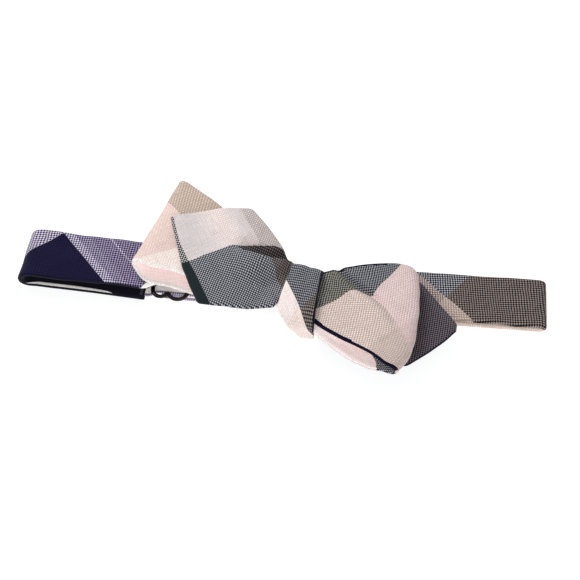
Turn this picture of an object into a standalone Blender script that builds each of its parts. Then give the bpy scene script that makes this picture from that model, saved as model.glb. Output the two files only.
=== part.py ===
"""Adjustable diamond-point bow tie, lying face up with its neckband closed and folded flat.

X runs along the neckband, Y across it towards its upper edge as worn, and Z out of the bow's face.
Every cloth part is a sandwich of face cloth, canvas interlining and lining, each panel its own solid.
All lengths are in metres.
"""

import math

import bmesh
import bpy
from mathutils import Vector

MM = 0.001

# Cloth sandwich: sheet thicknesses and the clearance between sheets.
FACE_T = 0.6 * MM
CANVAS_T = 0.5 * MM
LINING_T = 0.6 * MM
PLY_GAP = 0.25 * MM
PLY_STEP = CANVAS_T / 2 + PLY_GAP + FACE_T / 2  # mid canvas to mid face or lining
CLOTH_T = 2 * PLY_STEP + FACE_T
GAP = 0.3 * MM  # clearance between parts that rest on each other
SEAM_INSET = 0.6 * MM  # the canvas is cut this much narrower than the cloth

# Neckband.
BAND_HALF = 10.0 * MM
BAND_Y = -1.0 * MM
LEFT_TILT, RIGHT_TILT = math.radians(-1.3), math.radians(0.8)
BACK_Z = CLOTH_T / 2  # mid-height of the layer that lies on the table
LEFT_END_X = -94.75 * MM  # outer surface of the left fold
RIGHT_END_X = 94.5 * MM
LEFT_TOP_Z = 8.4 * MM  # mid-height of the front layer where it enters each fold
RIGHT_TOP_Z = 3.8 * MM
KNOT_BAND_Z = 6.3 * MM
SLIDER_CLEAR_X = -22.0 * MM  # the front layer stays high from the left fold to here
SLIDER_CLEAR_Z = 7.1 * MM
FOLD_LEVEL = 0.3 * MM  # each half fold ends square, upright from this height to the gap at the middle
FOLD_STEPS = 7

# Knot.
KNOT_X = 8.0 * MM
KNOT_HALF_X = 7.0 * MM
KNOT_LOW_Y, KNOT_HIGH_Y = -24.6 * MM, 2.6 * MM
KNOT_LOW_Z, KNOT_HIGH_Z = 3.9 * MM, 16.1 * MM
BAND_KNOT_HALF = 5.5 * MM  # the band is gathered to this half-width inside the knot
BAND_KNOT_Y = -5.0 * MM

# Bow layers at the knot, mid-heights from the table.
PLY_PITCH = CLOTH_T + PLY_GAP
LAYER_1_Z = KNOT_BAND_Z + PLY_PITCH
LAYER_2_Z = LAYER_1_Z + PLY_PITCH
LAYER_3_Z = LAYER_2_Z + PLY_PITCH
LEFT_FLAT, RIGHT_FLAT = 11.0 * MM, 6.5 * MM  # the layers stay level this far along each wing, under the knot

# Adjuster hardware on the back of the band.
SLIDER_X = -41.0 * MM
SLIDER_HALF_X = 7.0 * MM
SLIDER_LOW_Y, SLIDER_HIGH_Y = -12.8 * MM, 10.6 * MM
SLIDER_LOW_Z = 4.65 * MM
SLIDER_T = 1.0 * MM
SLIDER_WALL = 2.0 * MM
CROSSBAR_Z, CROSSBAR_T, CROSSBAR_W = 2.1 * MM, 0.7 * MM, 2.0 * MM
STRAP_T = 0.7 * MM
STRAP_HALF = 8.7 * MM
STRAP_TOP_Z, STRAP_LOW_Z = 4.0 * MM, 1.15 * MM
STRAP_HEM = 1.0 * MM  # the strap goes this far back under the eye before its return run
TAIL_REACH, TAIL_T = 1.2 * MM, 0.6 * MM  # the tail starts this far past the crossbar's middle
LINED_END_X = -49.0 * MM  # the lined band stops here, and the single strap goes on to the eye
EYE_X = -18.5 * MM
EYE_Z = (STRAP_TOP_Z + STRAP_LOW_Z) / 2
EYE_WIRE = 1.2 * MM
EYE_REACH = 8.0 * MM
EYE_HALF_Y = 10.3 * MM
HOOK_X = 3.0 * MM
HOOK_Z = 1.55 * MM
HOOK_T = 0.8 * MM
HOOK_PLATE_Z = 0.8 * MM
HOOK_HALF_Y = 5.5 * MM
HOOK_LIP_TOP_Z = 3.35 * MM
HOOK_LIP_GAP = 1.0 * MM
TONGUE_T = 0.44 * MM
BAND_END_X = 13.5 * MM  # where the right back layer stops, at the hook's loop
TACK_HEIGHT = 0.45 * MM
TACK_LIFT = 0.05 * MM  # a tack's clearance from the cloth under it


# ---------------------------------------------------------------- helpers

def material(name, colour, roughness, metallic=0.0):
    made = bpy.data.materials.new(name)
    made.use_nodes = True
    shader = made.node_tree.nodes["Principled BSDF"]
    shader.inputs["Base Color"].default_value = (*colour, 1.0)
    shader.inputs["Roughness"].default_value = roughness
    shader.inputs["Metallic"].default_value = metallic
    return made


def collection(name):
    made = bpy.data.collections.new(name)
    bpy.context.scene.collection.children.link(made)
    return made


def empty(name, location=(0, 0, 0), turn=0.0, parent=None):
    made = bpy.data.objects.new(name, None)
    made.location = location
    made.rotation_euler.z = turn
    made.parent = parent
    PARTS.objects.link(made)
    return made


def hang(axis, *names):
    """Parents pieces to the empty on their joint's axis, keeping them where they are."""
    for name in names:
        piece = bpy.data.objects[name]
        piece.parent = axis
        piece.matrix_parent_inverse = axis.matrix_local.inverted()


def add_object(name, data, finish, parent):
    made = bpy.data.objects.new(name, data)
    made.data.materials.append(finish)
    made.parent = parent
    PARTS.objects.link(made)
    return made


def stations(*pairs):
    """A function that reads a value along a length, joining (position, value) pairs with straight lines."""
    def read(position):
        for (a, low), (b, high) in zip(pairs, pairs[1:]):
            if position <= b:
                share = max(0.0, (position - a) / (b - a))
                return low + share * (high - low)
        return pairs[-1][1]
    return read


def arc(centre, radius, start, end, steps):
    """Points on a circle in the side view, from angle start to angle end."""
    points = []
    for i in range(steps + 1):
        angle = start + (end - start) * i / steps
        points.append((centre[0] + radius * math.cos(angle), centre[1] + radius * math.sin(angle)))
    return points


def along(start, end, steps, bulge=0.0):
    """Points from start to just before end in the side view, raised by bulge halfway."""
    points = []
    for i in range(steps):
        share = i / steps
        rise = bulge * math.sin(math.pi * share)
        points.append((start[0] + (end[0] - start[0]) * share, start[1] + (end[1] - start[1]) * share + rise))
    return points


def offset(path, distance):
    """The path moved sideways by distance, to its left as it is followed."""
    moved = []
    for i, point in enumerate(path):
        before = Vector(path[max(i - 1, 0)])
        after = Vector(path[min(i + 1, len(path) - 1)])
        ahead = (after - before).normalized()
        moved.append((point[0] - ahead.y * distance, point[1] + ahead.x * distance))
    return moved


def sheet(name, path, edges, thickness, finish, parent, skew=0.0, cyclic=False):
    """A cloth sheet: a side-view path drawn out between its two edges, then given its thickness."""
    mesh = bmesh.new()
    line = [mesh.verts.new((x, 0.0, z)) for x, z in path]
    chain = [mesh.edges.new(pair) for pair in zip(line, line[1:])]
    if cyclic:
        chain.append(mesh.edges.new((line[-1], line[0])))
    drawn = bmesh.ops.extrude_edge_only(mesh, edges=chain)["geom"]
    far = {v for v in drawn if isinstance(v, bmesh.types.BMVert)}
    reach = max(x for x, _z in path)
    for v in mesh.verts:
        v.co.y = edges[1](v.co.x) if v in far else edges[0](v.co.x)
        v.co.x += skew * v.co.y * max(0.0, v.co.x / reach) ** 2
    bmesh.ops.recalc_face_normals(mesh, faces=mesh.faces)
    data = bpy.data.meshes.new(name)
    mesh.to_mesh(data)
    mesh.free()
    data.shade_smooth()
    made = add_object(name, data, finish, parent)
    thicken = made.modifiers.new("thickness", "SOLIDIFY")
    thicken.thickness = thickness
    thicken.offset = 0.0
    thicken.use_even_offset = True
    return made


def trimmed(edges, amount):
    return (lambda x: edges[0](x) + amount, lambda x: edges[1](x) - amount)


def plies(name, path_at, edges, parent, skew=0.0, canvas_path=None):
    """Face cloth, canvas and lining. path_at gives the path at a distance out from the mid-line."""
    sheet(name + "_face", path_at(PLY_STEP), edges, FACE_T, CHECK, parent, skew)
    canvas = canvas_path or path_at(0.0)
    sheet(name + "_canvas", canvas, trimmed(edges, SEAM_INSET), CANVAS_T, CANVAS, parent, skew)
    sheet(name + "_lining", path_at(-PLY_STEP), edges, LINING_T, LINING, parent, skew)


def outline(name, loops, depth, finish, parent, turned=True):
    """A flat plate from closed outlines, holes included. Turned, it stands in the side view."""
    curve = bpy.data.curves.new(name, "CURVE")
    curve.dimensions = "2D"
    curve.fill_mode = "BOTH"
    curve.extrude = depth / 2
    for points in loops:
        spline = curve.splines.new("POLY")
        spline.points.add(len(points) - 1)
        for target, (x, y) in zip(spline.points, points):
            target.co = (x, y, 0.0, 1.0)
        spline.use_cyclic_u = True
    made = add_object(name, curve, finish, parent)
    if turned:
        made.rotation_euler.x = math.pi / 2
    return made


def rounded(low, high, radius, steps=4):
    """Outline of a rectangle with round corners."""
    corners = (
        ((high[0] - radius, high[1] - radius), 0),
        ((low[0] + radius, high[1] - radius), 1),
        ((low[0] + radius, low[1] + radius), 2),
        ((high[0] - radius, low[1] + radius), 3),
    )
    points = []
    for centre, quarter in corners:
        points += arc(centre, radius, quarter * math.pi / 2, (quarter + 1) * math.pi / 2, steps)
    return points


def meshed(obj):
    """The curve object remade as a welded mesh, so that it can be cut or joined."""
    bpy.context.view_layer.update()
    graph = bpy.context.evaluated_depsgraph_get()
    data = bpy.data.meshes.new_from_object(obj.evaluated_get(graph))
    name, parent, finish = obj.name, obj.parent, obj.data.materials[0]
    placed = obj.matrix_local.copy()
    bpy.data.objects.remove(obj)
    welded = bmesh.new()
    welded.from_mesh(data)
    bmesh.ops.remove_doubles(welded, verts=welded.verts, dist=1e-6)
    bmesh.ops.recalc_face_normals(welded, faces=welded.faces)
    welded.to_mesh(data)
    welded.free()
    data.materials.clear()
    made = add_object(name, data, finish, parent)
    made.matrix_local = placed
    return made


def join(target, other):
    """Adds other to target as one body, and keeps other out of the render as a helper."""
    union = target.modifiers.new("join_" + other.name, "BOOLEAN")
    union.operation = "UNION"
    union.object = other
    PARTS.objects.unlink(other)
    HELPERS.objects.link(other)
    other.hide_render = True
    other.display_type = "WIRE"


def box(name, low, high, finish, parent, round_off=0.0):
    bpy.ops.mesh.primitive_cube_add(size=1.0)
    made = bpy.context.object
    made.name = name
    made.data.name = name
    for v in made.data.vertices:
        for k in range(3):
            v.co[k] = high[k] if v.co[k] > 0 else low[k]
    for owner in list(made.users_collection):
        owner.objects.unlink(made)
    PARTS.objects.link(made)
    made.data.materials.append(finish)
    made.parent = parent
    if round_off:
        bevel = made.modifiers.new("edges", "BEVEL")
        bevel.width = round_off
        bevel.segments = 2
    return made


# ---------------------------------------------------------------- neckband

def fold(end_x, top_z, outward):
    """Centre and mid-line radius of the fold that joins the front layer to the back layer."""
    radius = (top_z - BACK_Z) / 2
    centre = (end_x - outward * (radius + CLOTH_T / 2), (top_z + BACK_Z) / 2)
    return centre, radius


def half_fold(centre, radius, outward, upper):
    """One half of a fold, from the level run to a square end half a gap short of the middle height."""
    sign = 1 if upper else -1
    last = math.asin(FOLD_LEVEL / radius)
    points = []
    for i in range(FOLD_STEPS + 1):
        angle = math.pi / 2 + (last - math.pi / 2) * i / FOLD_STEPS
        across, rise = radius * math.cos(angle), radius * math.sin(angle)
        points.append((centre[0] + outward * across, centre[1] + sign * rise))
    points.append((points[-1][0], centre[1] + sign * GAP / 2))
    return points


def knot_share(x):
    """One inside the knot, falling smoothly to nothing 24 mm to either side of it."""
    share = max(0.0, 1.0 - max(0.0, abs(x - KNOT_X) - KNOT_HALF_X) / (24 * MM))
    return share * share * (3 - 2 * share)


def front_low(x):
    return BAND_Y - BAND_HALF + (BAND_KNOT_Y - BAND_KNOT_HALF - BAND_Y + BAND_HALF) * knot_share(x)


def front_high(x):
    return BAND_Y + BAND_HALF + (BAND_KNOT_Y + BAND_KNOT_HALF - BAND_Y - BAND_HALF) * knot_share(x)


def level(half):
    """Straight edges either side of the band's centreline."""
    return (lambda _x: BAND_Y - half, lambda _x: BAND_Y + half)


def make_front_band(left, right):
    """The two front runs, from the middle of the knot out to the halfway point of each fold."""
    rise_x = KNOT_X - KNOT_HALF_X - 5 * MM
    left_centre, left_radius = fold(LEFT_END_X, LEFT_TOP_Z, -1)
    right_centre, right_radius = fold(RIGHT_END_X, RIGHT_TOP_Z, 1)

    def left_run(out):
        run = along((KNOT_X - GAP / 2, KNOT_BAND_Z + out), (rise_x, KNOT_BAND_Z + out), 3)
        run += along((rise_x, KNOT_BAND_Z + out), (SLIDER_CLEAR_X, SLIDER_CLEAR_Z + out), 5)
        run += along((SLIDER_CLEAR_X, SLIDER_CLEAR_Z + out), (left_centre[0], LEFT_TOP_Z + out), 6)
        return run + half_fold(left_centre, left_radius + out, -1, True)

    def right_run(out):
        level_x = KNOT_X + KNOT_HALF_X + MM
        run = along((KNOT_X + GAP / 2, KNOT_BAND_Z + out), (level_x, KNOT_BAND_Z + out), 2)
        run += along((level_x, KNOT_BAND_Z + out), (right_centre[0], RIGHT_TOP_Z + out), 9)
        return run + half_fold(right_centre, right_radius + out, 1, True)

    plies("band_left_front", left_run, (front_low, front_high), left)
    plies("band_right_front", right_run, (front_low, front_high), right)


def make_back_band(left, right):
    """The two back runs, from the halfway point of each fold in to the adjuster and the hook."""
    for name, parent, outward, end_x, top_z, stop_x, canvas_x in (
        ("band_left_back", left, -1, LEFT_END_X, LEFT_TOP_Z, LINED_END_X, LINED_END_X - 7 * MM),
        ("band_right_back", right, 1, RIGHT_END_X, RIGHT_TOP_Z, BAND_END_X, BAND_END_X + 13 * MM),
    ):
        centre, radius = fold(end_x, top_z, outward)

        def run(out, stop=stop_x):
            bend = half_fold(centre, radius + out, outward, False)
            level_z = BACK_Z - out
            start_x = centre[0] - outward * 4 * MM
            return list(reversed(bend)) + along((start_x, level_z), (stop, level_z), 5) + [(stop, level_z)]

        plies(name, run, level(BAND_HALF), parent, canvas_path=run(0.0, canvas_x))


# ---------------------------------------------------------------- bow

def make_front_end(wing):
    """The pointed end on the left that lies on top of the bow."""
    length = 54 * MM
    path = along((3.6 * MM, LAYER_3_Z), (LEFT_FLAT, LAYER_3_Z), 2)
    path += along((LEFT_FLAT, LAYER_3_Z), (23.5 * MM, 17.0 * MM), 4, 0.8 * MM)
    path += along((23.5 * MM, 17.0 * MM), (33 * MM, 18.2 * MM), 3)
    path += along((33 * MM, 18.2 * MM), (length, 19.2 * MM), 6) + [(length, 19.2 * MM)]
    upper = stations(
        (3.6 * MM, -7.8 * MM), (LEFT_FLAT, -8.2 * MM), (33 * MM, -19.7 * MM), (length, -0.9 * MM),
    )
    lower = stations(
        (3.6 * MM, 8.6 * MM), (LEFT_FLAT, 9.4 * MM), (23.5 * MM, 22.5 * MM), (length, 0.9 * MM),
    )
    plies("bow_end_front", lambda out: offset(path, out), (upper, lower), wing)


def make_back_end(wing):
    """The pointed end on the right, behind the front loop."""
    length = 53.5 * MM
    path = along((0.0, LAYER_1_Z), (14 * MM, 8.6 * MM), 3)
    path += along((14 * MM, 8.6 * MM), (37.5 * MM, 8.4 * MM), 6)
    path += along((37.5 * MM, 8.4 * MM), (length, 8.2 * MM), 5) + [(length, 8.2 * MM)]
    lower = stations((0.0, -8.6 * MM), (14 * MM, -12.5 * MM), (37.5 * MM, -17.5 * MM), (length, -0.9 * MM))
    upper = stations((0.0, 8.6 * MM), (14 * MM, 13.0 * MM), (37.5 * MM, 18.6 * MM), (length, 0.9 * MM))
    plies("bow_end_back", lambda out: offset(path, out), (lower, upper), wing)


def make_loop(name, wing, start, flat, reach, low, high, edges, bulge, skew):
    """A doubled wing: out along its front, round the fold, and back along its rear."""
    radius = (high[1] - low[1]) / 2
    centre = (reach - radius - CLOTH_T / 2, (high[1] + low[1]) / 2)
    path = along((start, high[0]), (flat, high[0]), 2)
    path += along((flat, high[0]), (centre[0], high[1]), 9, bulge)
    path += arc(centre, radius, math.pi / 2, -math.pi / 2, 10)
    back = along((start, low[0]), (flat, low[0]), 2)
    back += along((flat, low[0]), (centre[0], low[1]), 9, 0.6 * MM)
    path += list(reversed(back))
    plies(name, lambda out: offset(path, out), edges, wing, skew)


def make_bow(left, right):
    upper = stations(
        (3.6 * MM, -7.8 * MM), (LEFT_FLAT, -8.2 * MM), (42 * MM, -18.0 * MM), (60 * MM, -20.0 * MM),
    )
    lower = stations(
        (3.6 * MM, 8.6 * MM), (LEFT_FLAT, 9.4 * MM), (30 * MM, 18.5 * MM),
        (45 * MM, 22.0 * MM), (60 * MM, 19.0 * MM),
    )
    make_loop(
        "bow_loop_back", left["back"], 3.6 * MM, LEFT_FLAT, 60 * MM,
        (LAYER_1_Z, 11.2 * MM), (LAYER_2_Z, 16.6 * MM), (upper, lower), 0.4 * MM, -0.11,
    )
    lower = stations((0.0, -8.6 * MM), (RIGHT_FLAT, -10.4 * MM), (38 * MM, -22.2 * MM))
    upper = stations((0.0, 8.6 * MM), (RIGHT_FLAT, 11.0 * MM), (20 * MM, 17.6 * MM), (38 * MM, 20.6 * MM))
    make_loop(
        "bow_loop_front", right["front"], 0.0, RIGHT_FLAT, 38.5 * MM,
        (LAYER_2_Z, 11.2 * MM), (LAYER_3_Z, 16.4 * MM), (lower, upper), 1.0 * MM, 0.0,
    )
    make_front_end(left["front"])
    make_back_end(right["back"])


def make_knot(parent):
    """The wrap that goes round the bow's middle and the band: face cloth outside, canvas inside."""
    low, high = (KNOT_LOW_Y, KNOT_LOW_Z), (KNOT_HIGH_Y, KNOT_HIGH_Z)
    wide = (lambda _x: -KNOT_HALF_X, lambda _x: KNOT_HALF_X)
    for name, inset, thickness, finish in (
        ("knot_wrap_face", 0.0, FACE_T, CHECK), ("knot_wrap_canvas", PLY_STEP, CANVAS_T, CANVAS),
    ):
        inner_low, inner_high = (low[0] + inset, low[1] + inset), (high[0] - inset, high[1] - inset)
        ring = rounded(inner_low, inner_high, 2.4 * MM - inset, 5)
        made = sheet(name, ring, wide, thickness, finish, parent, cyclic=True)
        made.rotation_euler.z = math.pi / 2
        made.location.x = KNOT_X
    top = KNOT_LOW_Z - FACE_T / 2 - TACK_LIFT
    make_tack("knot_tack", (KNOT_X, -3.8 * MM), (1.2 * MM, 8.4 * MM), top - TACK_HEIGHT, parent)


# ---------------------------------------------------------------- adjuster

def make_adjuster_strap(left):
    """The single strap from inside the lined band, over the crossbar, round the eye and back."""
    turn = (STRAP_TOP_Z - STRAP_LOW_Z) / 2
    path = [(LINED_END_X - 6 * MM, BACK_Z), (LINED_END_X + 1.0 * MM, BACK_Z)]
    path += along((LINED_END_X + 2.0 * MM, BACK_Z + 0.3 * MM), (LINED_END_X + 4.6 * MM, STRAP_TOP_Z), 3)
    path += along((LINED_END_X + 4.8 * MM, STRAP_TOP_Z), (EYE_X, STRAP_TOP_Z), 4)
    path += arc((EYE_X, EYE_Z), turn, math.pi / 2, -math.pi / 2, 8)
    path += [(EYE_X - STRAP_HEM, STRAP_LOW_Z)]
    sheet("adjuster_strap", path, level(STRAP_HALF), STRAP_T, CHECK, left)

    start = EYE_X - STRAP_HEM - GAP
    end = SLIDER_X + TAIL_REACH + GAP
    run = [(start, STRAP_LOW_Z), ((start + end) / 2, STRAP_LOW_Z), (end, STRAP_LOW_Z)]
    sheet("adjuster_return", run, level(STRAP_HALF), STRAP_T, CHECK, left)


def make_tail(left):
    """The strap's sewn end, turned round the slider's crossbar."""
    top_z = CROSSBAR_Z + (CROSSBAR_Z - STRAP_LOW_Z)
    turn = (top_z - STRAP_LOW_Z) / 2
    path = [(SLIDER_X + TAIL_REACH, STRAP_LOW_Z)]
    path += arc((SLIDER_X - CROSSBAR_W / 2 + 0.1 * MM, CROSSBAR_Z), turn, -math.pi / 2, -1.5 * math.pi, 8)
    path += [(SLIDER_X + 6.5 * MM, top_z)]
    sheet("adjuster_tail", path, level(STRAP_HALF), TAIL_T, CHECK, left)


def make_slider(left):
    """The figure-of-eight slider: a flat frame, and a crossbar dropped below it on two posts."""
    middle_z = SLIDER_LOW_Z + SLIDER_T / 2
    low = (SLIDER_X - SLIDER_HALF_X, SLIDER_LOW_Y)
    high = (SLIDER_X + SLIDER_HALF_X, SLIDER_HIGH_Y)
    hole_low = (low[0] + SLIDER_WALL, low[1] + SLIDER_WALL)
    hole_high = (high[0] - SLIDER_WALL, high[1] - SLIDER_WALL)
    frame = outline(
        "slider", [rounded(low, high, 5.2 * MM), rounded(hole_low, hole_high, 3.4 * MM)],
        SLIDER_T, BRONZE, left, turned=False,
    )
    frame.location.z = middle_z
    frame = meshed(frame)

    low_z = CROSSBAR_Z - CROSSBAR_T / 2
    outer, inner, chamfer = 0.4 * MM, SLIDER_WALL - 0.2 * MM, 0.6 * MM
    profile = []
    for edge, inward in ((SLIDER_LOW_Y, 1), (SLIDER_HIGH_Y, -1)):
        post = [
            (edge + inward * inner, low_z + CROSSBAR_T), (edge + inward * inner, middle_z),
            (edge + inward * outer, middle_z), (edge + inward * outer, low_z + chamfer),
            (edge + inward * (outer + chamfer), low_z),
        ]
        profile += post if inward > 0 else list(reversed(post))
    crossbar = outline("slider_crossbar", [profile], CROSSBAR_W, BRONZE, left)
    crossbar.rotation_euler.z = math.pi / 2
    crossbar.location.x = SLIDER_X
    join(frame, meshed(crossbar))


def make_eye(left):
    """The wire eye that the hook catches: a rectangular ring on the strap's end loop."""
    half = EYE_WIRE / 2
    low = (EYE_X - half, BAND_Y - EYE_HALF_Y)
    high = (EYE_X + EYE_REACH + half, BAND_Y + EYE_HALF_Y)
    inside_low = (low[0] + EYE_WIRE, low[1] + EYE_WIRE)
    inside_high = (high[0] - EYE_WIRE, high[1] - EYE_WIRE)
    ring = outline(
        "eye", [rounded(low, high, 1.4 * MM, 3), rounded(inside_low, inside_high, 0.5 * MM, 2)],
        EYE_WIRE, BRONZE, left, turned=False,
    )
    ring.location.z = EYE_Z
    meshed(ring)


def make_hook(right):
    """The hook: a bent plate whose lip stands up through the eye, with a slot bar for the cloth loop."""
    lip_right = EYE_X + EYE_REACH - EYE_WIRE / 2 - HOOK_LIP_GAP
    bottom, top = HOOK_PLATE_Z - HOOK_T / 2, HOOK_PLATE_Z + HOOK_T / 2
    bar_low, bar_top = HOOK_Z - HOOK_T / 2, HOOK_Z + HOOK_T / 2
    profile = [
        (lip_right - HOOK_T, HOOK_LIP_TOP_Z), (lip_right - HOOK_T, bottom + 0.4 * MM),
        (lip_right - HOOK_T + 0.4 * MM, bottom), (HOOK_X - 5.0 * MM, bottom),
        (HOOK_X - 3.0 * MM, bar_low), (HOOK_X - 2.2 * MM, bar_low),
        (HOOK_X - 2.2 * MM, bar_top), (HOOK_X - 3.2 * MM, bar_top),
        (HOOK_X - 5.2 * MM, top), (lip_right, top), (lip_right, HOOK_LIP_TOP_Z),
    ]
    plate = outline("hook", [profile], 2 * HOOK_HALF_Y, BRONZE, right)
    plate.location.y = BAND_Y
    plate = meshed(plate)

    half_y, wall = STRAP_HALF + 0.2 * MM, 1.3 * MM
    frame = rounded((HOOK_X - 3.4 * MM, BAND_Y - half_y), (HOOK_X + 0.6 * MM, BAND_Y + half_y), 1.2 * MM, 3)
    slot_low = (HOOK_X - 1.9 * MM, BAND_Y - half_y + wall)
    slot_high = (HOOK_X - 0.6 * MM, BAND_Y + half_y - wall)
    slot_frame = outline(
        "hook_slot_frame", [frame, rounded(slot_low, slot_high, 0.3 * MM, 2)],
        HOOK_T - 0.1 * MM, BRONZE, right, turned=False,
    )
    slot_frame.location.z = HOOK_Z
    join(plate, meshed(slot_frame))


def make_hook_loop(right):
    """The cloth loop that holds the hook's slot bar, its tongue sewn into the end of the band."""
    outer, inner = 1.5 * MM, 1.0 * MM
    low_z, top_z = BACK_Z - TONGUE_T / 2, BACK_Z + TONGUE_T / 2
    loop = arc((HOOK_X, HOOK_Z), outer, 0.3 * math.pi, 1.72 * math.pi, 10)
    loop += [(HOOK_X + 3.0 * MM, low_z), (BAND_END_X + 9 * MM, low_z)]
    loop += [(BAND_END_X + 9 * MM, top_z), (HOOK_X + 3.2 * MM, top_z)]
    hole = arc((HOOK_X, HOOK_Z), inner, 0.0, 2 * math.pi * 11 / 12, 11)
    made = outline("hook_loop", [loop, hole], 2 * (STRAP_HALF - 1.6 * MM), CHECK, right)
    made.location.y = BAND_Y
    meshed(made)


def make_tack(name, centre, size, bottom, parent):
    """A bar tack: one dense bar of thread."""
    low = (centre[0] - size[0] / 2, centre[1] - size[1] / 2, bottom)
    high = (centre[0] + size[0] / 2, centre[1] + size[1] / 2, bottom + TACK_HEIGHT)
    box(name, low, high, THREAD, parent, 0.15 * MM)


def make_band_tacks(left, right):
    """The tack across the lined band's square end, and the one that holds the hook's loop."""
    seam = (LINED_END_X - 1.4 * MM, BAND_Y)
    make_tack("band_end_tack", seam, (1.0 * MM, 18.0 * MM), CLOTH_T + TACK_LIFT, left)
    loop_seam = (HOOK_X + 6.5 * MM, BAND_Y)
    make_tack("hook_loop_tack", loop_seam, (1.2 * MM, 13.0 * MM), BACK_Z + TONGUE_T / 2 + TACK_LIFT, right)


def centre_on_origin(root):
    """Moves the whole tie so that the origin is at the middle of the bottom of its bounding box."""
    bpy.context.view_layer.update()
    graph = bpy.context.evaluated_depsgraph_get()
    corners = []
    for obj in PARTS.objects:
        if obj.type == "EMPTY":
            continue
        placed = obj.evaluated_get(graph)
        shape = placed.to_mesh()
        corners += [placed.matrix_world @ vertex.co for vertex in shape.vertices]
        placed.to_mesh_clear()
    low = Vector(map(min, zip(*corners)))
    high = Vector(map(max, zip(*corners)))
    root.location = (-(low.x + high.x) / 2, -(low.y + high.y) / 2, -low.z)
    print("origin shift in mm:", [round(v / MM, 3) for v in root.location])


def print_joint(axis):
    """Prints where a joint's axis is and which way it points, for the record."""
    place = [round(v, 6) for v in axis.matrix_world.translation]
    x_axis = [round(v, 6) for v in axis.matrix_world.to_3x3().col[0]]
    y_axis = [round(v, 6) for v in axis.matrix_world.to_3x3().col[1]]
    print(axis.name, place, "x", x_axis, "y", y_axis)


# ---------------------------------------------------------------- build

for old in list(bpy.data.objects):
    bpy.data.objects.remove(old)
PARTS = collection("bow_tie")
HELPERS = collection("helpers")
CHECK = material("check_cloth", (0.48, 0.44, 0.43), 0.9)
CANVAS = material("canvas", (0.82, 0.78, 0.68), 0.95)
LINING = material("lining", (0.035, 0.04, 0.075), 0.85)
THREAD = material("thread", (0.12, 0.12, 0.16), 0.8)
BRONZE = material("dark_bronze", (0.13, 0.09, 0.075), 0.38, 0.9)

ROOT = empty("tie")
LEFT_BAND = empty("left_band", turn=LEFT_TILT, parent=ROOT)
RIGHT_BAND = empty("right_band", turn=RIGHT_TILT, parent=ROOT)
LEFT_WING = {
    "front": empty("front_end_axis", (6 * MM, -11 * MM, 0), math.radians(152), ROOT),
    "back": empty("back_loop_axis", (6 * MM, -11 * MM, 0), math.radians(155), ROOT),
}
RIGHT_WING = {
    "front": empty("front_loop_axis", (10 * MM, -12 * MM, 0), math.radians(-7), ROOT),
    "back": empty("back_end_axis", (10 * MM, -12 * MM, 0), math.radians(-6), ROOT),
}
LEFT_FOLD_Z = fold(LEFT_END_X, LEFT_TOP_Z, -1)[0][1]
RIGHT_FOLD_Z = fold(RIGHT_END_X, RIGHT_TOP_Z, 1)[0][1]
JOINTS = {
    "left_fold": empty("left_fold_axis", (LEFT_END_X, BAND_Y, LEFT_FOLD_Z), parent=LEFT_BAND),
    "right_fold": empty("right_fold_axis", (RIGHT_END_X, BAND_Y, RIGHT_FOLD_Z), parent=RIGHT_BAND),
    "slider": empty("slider_axis", (SLIDER_X, BAND_Y, CROSSBAR_Z), parent=LEFT_BAND),
    "eye": empty("eye_axis", (EYE_X, BAND_Y, EYE_Z), parent=LEFT_BAND),
    "hook": empty("hook_axis", (HOOK_X, BAND_Y, HOOK_Z), parent=RIGHT_BAND),
}

make_front_band(LEFT_BAND, RIGHT_BAND)
make_back_band(LEFT_BAND, RIGHT_BAND)
make_bow(LEFT_WING, RIGHT_WING)
make_knot(ROOT)
make_adjuster_strap(LEFT_BAND)
make_tail(LEFT_BAND)
make_slider(LEFT_BAND)
make_eye(LEFT_BAND)
make_hook(RIGHT_BAND)
make_hook_loop(RIGHT_BAND)
make_band_tacks(LEFT_BAND, RIGHT_BAND)

PLIES = ("face", "canvas", "lining")
hang(JOINTS["left_fold"], *("band_left_back_" + ply for ply in PLIES))
hang(JOINTS["left_fold"], "adjuster_strap", "adjuster_return", "band_end_tack")
hang(JOINTS["right_fold"], *("band_right_back_" + ply for ply in PLIES))
hang(JOINTS["right_fold"], "hook_loop", "hook_loop_tack")
hang(JOINTS["slider"], "slider", "adjuster_tail")
hang(JOINTS["eye"], "eye")
hang(JOINTS["hook"], "hook")
centre_on_origin(ROOT)
bpy.context.view_layer.update()
for joint_axis in JOINTS.values():
    print_joint(joint_axis)
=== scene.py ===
"""The looks of the bow tie: woven check cloth panels, a dark metal adjuster, floor, light and camera.

Lengths are in millimetres until a mesh is made. A panel's own axes are s, along it from the knot outwards,
and l, across it. The length along its cloth, round its folds, is u. Its cloth coordinates a and b count
across the two sets of yarns, so a colour border is a line of constant a or b.
"""

import math
from collections import namedtuple

import bmesh
import bpy
from mathutils import Matrix, Vector, noise


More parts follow.
